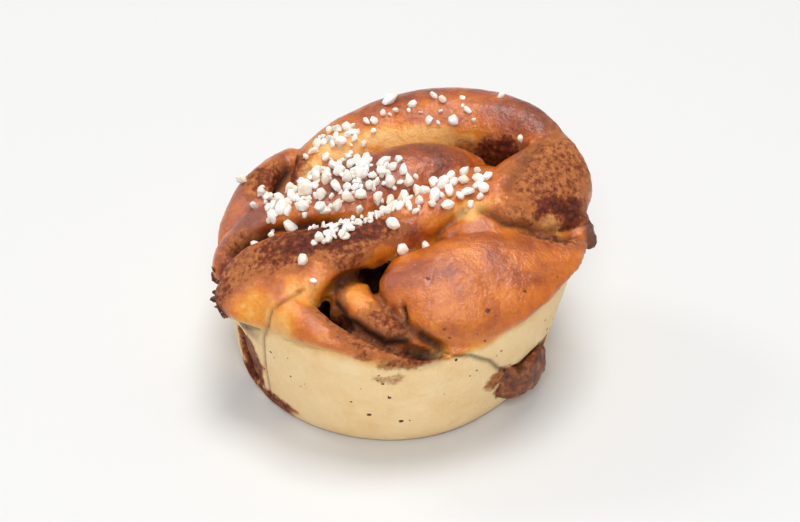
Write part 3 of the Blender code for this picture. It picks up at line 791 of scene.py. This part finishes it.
# ------------------------------------------------------------------ caramel flakes and specks
# Thin scales of boiled-out sugar at the torn left lip, and burnt specks of cinnamon in the skin.
FLAKE_SEED = 5
LIP_FLAKES = 16
LOOSE_SPECKS = 95
LOOSE_START = 80  # distance from which the loose specks fly in
CRUST_SPECKS = [(21, -33, 1.5), (7, -27, 1.1), (30, -27, 0.9)]  # x, y, across
WALL_SPECKS = [  # direction in degrees, height, across
    (270, 18, 1.1), (274, 9, 1.4), (263, 11, 1.3), (257, 15, 0.7), (291, 29, 0.9), (301, 32, 0.8),
    (308, 26, 0.8), (226, 22, 0.8), (234, 17, 0.7),
]


def laid_on(normal):
    """Turn that lays a chip flat on the skin."""
    return normal.to_track_quat("Z", "Y").to_euler()


def chip(bm, centre, sizes, turn, draw):
    """Small burnt scale: a flattened icosphere with an uneven outline."""
    made = bmesh.ops.create_icosphere(bm, subdivisions=2, radius=1.0)["verts"]
    shift = Vector((draw.uniform(0, 50), draw.uniform(0, 50), draw.uniform(0, 50)))
    for v in made:
        v.co *= 1 + 0.45 * noise.noise(v.co * 1.6 + shift)
        v.co = Vector((v.co.x * sizes[0], v.co.y * sizes[1], v.co.z * sizes[2]))
        v.co.rotate(turn)
        v.co = (v.co + centre) * MM


flake_bm = bmesh.new()
draw = random.Random(FLAKE_SEED)
for _ in range(LIP_FLAKES):
    outward = towards(draw.uniform(190, 210))
    start = outward * BEYOND_ALL + Vector((0, 0, draw.uniform(26, 31)))
    hit, normal, _, _ = surface.ray_cast(start * MM, -outward)
    sizes = (draw.uniform(0.7, 1.2), draw.uniform(0.5, 0.9), draw.uniform(0.25, 0.4))
    chip(flake_bm, hit / MM + normal * 0.15, sizes, any_turn(draw), draw)
speck_rays = [(Vector((x, y, ABOVE_ALL)), Vector((0, 0, -1)), across) for x, y, across in CRUST_SPECKS]
for degrees, z, across in WALL_SPECKS:
    outward = towards(degrees)
    speck_rays.append((Vector((*BASE_CENTRE, z)) + outward * BEYOND_ALL, -outward, across))
for start, way, across in speck_rays:
    hit, normal, _, _ = surface.ray_cast((start + Vector((*KNOT_SHIFT, 0))) * MM, way)
    chip(flake_bm, hit / MM - normal * 0.05, (across / 2, across / 2.4, 0.16), laid_on(normal), draw)
for _ in range(LOOSE_SPECKS):
    heading = draw.uniform(0, 2 * math.pi)
    start = Vector((math.cos(heading) * LOOSE_START, math.sin(heading) * LOOSE_START, draw.uniform(3, 55)))
    aim = Vector((draw.uniform(-25, 25), draw.uniform(-25, 25), draw.uniform(2, 40)))
    hit, normal, _, _ = surface.ray_cast(start * MM, (aim - start).normalized())
    if hit:
        half = 0.14 + 0.28 * draw.random() ** 3
        chip(flake_bm, hit / MM - normal * 0.02, (half * 1.3, half, 0.1), laid_on(normal), draw)
flakes = piece_from(flake_bm, "caramel_flakes")

burnt_sugar, tree, place = new_finish("burnt_caramel")
char = tone_ramp(tree, grain(tree, place, 500, 4, 0.6), [(0.35, "#34150C"), (0.65, "#85452A")])
shader = add(tree, "ShaderNodeBsdfPrincipled", {}, {"Base Color": char, "Roughness": 0.55, "IOR": 1.45})
add(tree, "ShaderNodeOutputMaterial", {}, {"Surface": shader.outputs[0]})
flakes.data.materials.append(burnt_sugar)
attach(flakes, "root")

# ------------------------------------------------------------------ studio
# Seamless white ground, a large soft box overhead, fills in front and at the rear left, and a sky
# that is a little brighter above and behind.
LAMPS = [  # name, place, size, power
    ("overhead", (0.1, 0.25, 1.45), 0.6, 13.0), ("front", (0.0, -0.95, 1.05), 0.5, 8.5),
    ("rear_left", (-1.0, 0.6, 0.9), 0.35, 3.5),
]
LAMP_TARGET = Vector((0, 0, 0.03))
VIEW_TARGET = Vector((KNOT_SHIFT[0] + 0.5, KNOT_SHIFT[1] + 13.3, 17.0)) * MM
VIEW_ELEVATION = math.radians(38)
VIEW_DISTANCE = 0.57

ground_bm = bmesh.new()
bmesh.ops.create_grid(ground_bm, x_segments=1, y_segments=1, size=4.0)
ground = piece_from(ground_bm, "ground")
paper, tree, place = new_finish("white_paper")
shader = add(tree, "ShaderNodeBsdfPrincipled", {}, {"Base Color": linear("#DADAD9"), "Roughness": 0.9})
add(tree, "ShaderNodeOutputMaterial", {}, {"Surface": shader.outputs[0]})
ground.data.materials.append(paper)

surround = bpy.data.worlds.new("soft_surround")
bpy.context.scene.world = surround
surround.use_nodes = True
tree = surround.node_tree
tree.nodes.clear()
around = tree.nodes.new("ShaderNodeTexCoord").outputs["Generated"]
heading = add(tree, "ShaderNodeSeparateXYZ", {}, {"Vector": around}).outputs
rearward = maths(tree, "MULTIPLY_ADD", heading["Y"], 0.35, heading["Z"])
glow = spread_over(tree, rearward, -0.3, 1.0, 0.3, 0.4)
backdrop = add(tree, "ShaderNodeBackground", {}, {"Color": linear("#FFFFFF"), "Strength": glow})
add(tree, "ShaderNodeOutputWorld", {}, {"Surface": backdrop.outputs[0]})
for name, spot, size, power in LAMPS:
    lamp = bpy.data.lights.new(name, "AREA")
    lamp.energy = power
    lamp.size = size
    lamp_object = bpy.data.objects.new(name, lamp)
    bpy.context.scene.collection.objects.link(lamp_object)
    lamp_object.location = spot
    lamp_object.rotation_euler = (LAMP_TARGET - Vector(spot)).to_track_quat("-Z", "Y").to_euler()
bpy.context.scene.view_settings.view_transform = "Standard"

lens = bpy.data.cameras.new("camera")
lens.lens = 100
lens.sensor_width = 36
lens.clip_start = 0.01
camera = bpy.data.objects.new("camera", lens)
bpy.context.scene.collection.objects.link(camera)
away = Vector((0, -math.cos(VIEW_ELEVATION), math.sin(VIEW_ELEVATION)))
camera.location = VIEW_TARGET + away * VIEW_DISTANCE
camera.rotation_euler = (math.radians(90) - VIEW_ELEVATION, 0, 0)
bpy.context.scene.camera = camera
